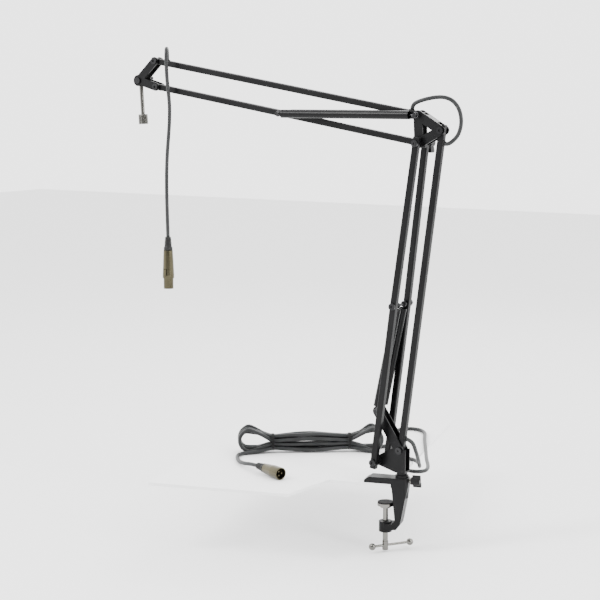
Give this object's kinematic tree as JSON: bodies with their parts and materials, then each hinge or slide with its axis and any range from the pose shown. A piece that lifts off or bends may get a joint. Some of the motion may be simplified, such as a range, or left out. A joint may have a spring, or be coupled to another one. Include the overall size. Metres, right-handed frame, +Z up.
{
  "type": "desk microphone boom arm",
  "caption": "Spring-balanced desk-clamp microphone boom arm with parallel links, a levelled head, a threaded rod and a built-in cable.",
  "frame": {"origin": "centre of the top jaw's clamping face, on the desk top", "axes": "+Z up, X along the arm's plane with the microphone end at -X, +Y to the side with the tension knobs"},
  "size_m": [0.5785, 0.4122, 0.7529],
  "materials": {
    "satin_black_metal": "satin powder coat",
    "black_plastic": "moulded",
    "black_rubber": "matt",
    "gloss_sleeve": "smooth sleeve",
    "grey_cable": "satin jacket",
    "bright_chrome": "polished plate",
    "nickel_shell": "satin nickel plate",
    "zinc_steel": "blackened and zinc-plated steel",
    "strap_fabric": "woven hook and loop"
  },
  "bodies": {
    "clamp": {"clamp_frame": "satin_black_metal"},
    "pad": {"pressure_pad": "bright_chrome", "pad_rubber": "black_rubber"},
    "screw": {"clamp_screw": "bright_chrome"},
    "tommy": {"tommy_bar": "bright_chrome", "tommy_balls": "bright_chrome"},
    "lock": {"lock_knob": "black_plastic", "lock_screw": "bright_chrome"},
    "base": {"swivel_post": "satin_black_metal", "base_bracket": "satin_black_metal", "base_pivot_bolt": "zinc_steel", "base_spacers": "satin_black_metal", "base_rod_bolt": "zinc_steel", "spring_anchor_pin": "zinc_steel", "base_cable": "grey_cable", "cable_hank": "grey_cable", "hank_ties": "strap_fabric", "tail_cable": "grey_cable", "plug_shell": "nickel_shell", "plug_boot": "black_rubber", "plug_pins": "nickel_shell"},
    "lower_arm": {"lower_tube_front": "satin_black_metal", "lower_tube_rear": "satin_black_metal", "lower_cross_bolt": "zinc_steel", "lower_tube_plugs": "black_plastic"},
    "lower_rod": {"lower_rod_tube": "satin_black_metal", "lower_rod_grommets": "black_rubber", "lower_inner_cable": "grey_cable"},
    "lower_springs": {"lower_sleeves": "gloss_sleeve", "lower_spring_hooks": "zinc_steel"},
    "lower_eyes": {"lower_spring_eyes": "zinc_steel"},
    "elbow": {"elbow_bracket": "satin_black_metal", "elbow_axle": "zinc_steel", "elbow_washers": "zinc_steel", "elbow_rod_bolt": "zinc_steel", "elbow_top_bolt": "zinc_steel", "elbow_cable": "grey_cable"},
    "elbow_tension": {"elbow_knob": "black_plastic"},
    "upper_arm": {"upper_bar": "satin_black_metal", "upper_cross_bolt": "zinc_steel", "upper_bar_plugs": "black_plastic"},
    "upper_rod": {"upper_rod_tube": "satin_black_metal", "upper_rod_grommets": "black_rubber", "upper_inner_cable": "grey_cable"},
    "upper_springs": {"upper_sleeves": "gloss_sleeve", "upper_spring_hooks": "zinc_steel"},
    "upper_eyes": {"upper_spring_eyes": "zinc_steel"},
    "head": {"head_bracket": "satin_black_metal", "head_bolts": "zinc_steel", "tilt_bolt": "zinc_steel", "head_cable": "grey_cable", "socket_shell": "nickel_shell", "socket_boot": "black_rubber", "socket_insert": "black_plastic"},
    "latch": {"socket_latch": "nickel_shell"},
    "head_tension": {"head_knob": "black_plastic"},
    "mic_mount": {"mic_rod": "bright_chrome", "threaded_stud": "bright_chrome"}
  },
  "joints": [
    {"name": "pad_travel", "type": "slide", "parent": "clamp", "child": "pad", "axis": [0, 0, 1], "range_m": [-0.02, 0.0125]},
    {"name": "screw_turn", "type": "hinge", "parent": "pad", "child": "screw", "pos_m": [0.00968, 0.0025, -0.034], "axis": [0, 0, 1], "range_deg": [-5800, 3650]},
    {"name": "tommy_slide", "type": "slide", "parent": "screw", "child": "tommy", "axis": [0.5592, 0.829, 0], "range_m": [-0.032, 0.012]},
    {"name": "lock_turn", "type": "hinge", "parent": "clamp", "child": "lock", "pos_m": [0.04841, 0.01252, 0.0045], "axis": [0.9681, 0.2504, 0], "range_deg": [-720, 360]},
    {"name": "base_swivel", "type": "hinge", "parent": "clamp", "child": "base", "pos_m": [0.03388, 0.00876, 0.013], "axis": [0, 0, 1], "continuous": true},
    {"name": "lower_arm_tilt", "type": "hinge", "parent": "base", "child": "lower_arm", "pos_m": [-0.00212, 0.00876, 0.032], "axis": [0, 1, 0], "range_deg": [-32, 20], "deforming": ["elbow_cable", "base_cable"]},
    {"name": "lower_rod_tilt", "type": "hinge", "parent": "base", "child": "lower_rod", "pos_m": [0.03229, 0.00876, 0.051], "axis": [0, 1, 0], "range_deg": [-32, 20]},
    {"name": "lower_spring_swing", "type": "hinge", "parent": "base", "child": "lower_springs", "pos_m": [-0.00511, 0.00876, 0.107], "axis": [0, 1, 0], "range_deg": [-46.9, 29.7]},
    {"name": "lower_eye_swing", "type": "hinge", "parent": "lower_arm", "child": "lower_eyes", "pos_m": [0.0288, 0.00876, 0.27], "axis": [0, 1, 0], "range_deg": [-14.9, 9.7]},
    {"name": "elbow_level", "type": "hinge", "parent": "lower_rod", "child": "elbow", "pos_m": [0.09411, 0.00876, 0.527], "axis": [0, 1, 0], "range_deg": [-20, 32]},
    {"name": "elbow_knob_turn", "type": "hinge", "parent": "elbow", "child": "elbow_tension", "pos_m": [0.05971, 0.03576, 0.508], "axis": [0, 1, 0], "range_deg": [-360, 180]},
    {"name": "upper_arm_lift", "type": "hinge", "parent": "elbow", "child": "upper_arm", "pos_m": [0.05971, 0.00876, 0.508], "axis": [0, 1, 0], "range_deg": [-45, 5], "deforming": ["head_cable"]},
    {"name": "upper_rod_lift", "type": "hinge", "parent": "elbow", "child": "upper_rod", "pos_m": [0.05771, 0.00876, 0.5485], "axis": [0, 1, 0], "range_deg": [-45, 5]},
    {"name": "upper_spring_swing", "type": "hinge", "parent": "elbow", "child": "upper_springs", "pos_m": [0.05771, 0.00876, 0.5485], "axis": [0, 1, 0], "range_deg": [-44.3, 5.8]},
    {"name": "upper_eye_swing", "type": "hinge", "parent": "upper_arm", "child": "upper_eyes", "pos_m": [-0.17686, 0.00876, 0.54844], "axis": [0, 1, 0], "range_deg": [-4, 4]},
    {"name": "head_level", "type": "hinge", "parent": "upper_rod", "child": "head", "pos_m": [-0.41543, 0.00876, 0.62938], "axis": [0, 1, 0], "range_deg": [-5, 45]},
    {"name": "latch_press", "type": "slide", "parent": "head", "child": "latch", "axis": [0, 1, 0], "range_m": [0, 0.0009]},
    {"name": "head_knob_turn", "type": "hinge", "parent": "head", "child": "head_tension", "pos_m": [-0.44843, 0.02276, 0.59888], "axis": [0, 1, 0], "range_deg": [-360, 180]},
    {"name": "mic_tilt", "type": "hinge", "parent": "head", "child": "mic_mount", "pos_m": [-0.44843, 0.00876, 0.59888], "axis": [0, 1, 0], "range_deg": [-30, 75]}
  ],
  "couplings": [
    {"joint": "screw_turn", "follows": "pad_travel", "rad_per_m": 5026.5},
    {"joint": "lower_rod_tilt", "follows": "lower_arm_tilt", "ratio": 1},
    {"joint": "lower_spring_swing", "follows": "lower_arm_tilt", "ratio": 1.433},
    {"joint": "lower_eye_swing", "follows": "lower_arm_tilt", "ratio": 0.433},
    {"joint": "elbow_level", "follows": "lower_arm_tilt", "ratio": -1},
    {"joint": "upper_rod_lift", "follows": "upper_arm_lift", "ratio": 1},
    {"joint": "upper_spring_swing", "follows": "upper_arm_lift", "ratio": 0.962},
    {"joint": "upper_eye_swing", "follows": "upper_arm_lift", "ratio": -0.038},
    {"joint": "head_level", "follows": "upper_arm_lift", "ratio": -1}
  ]
}
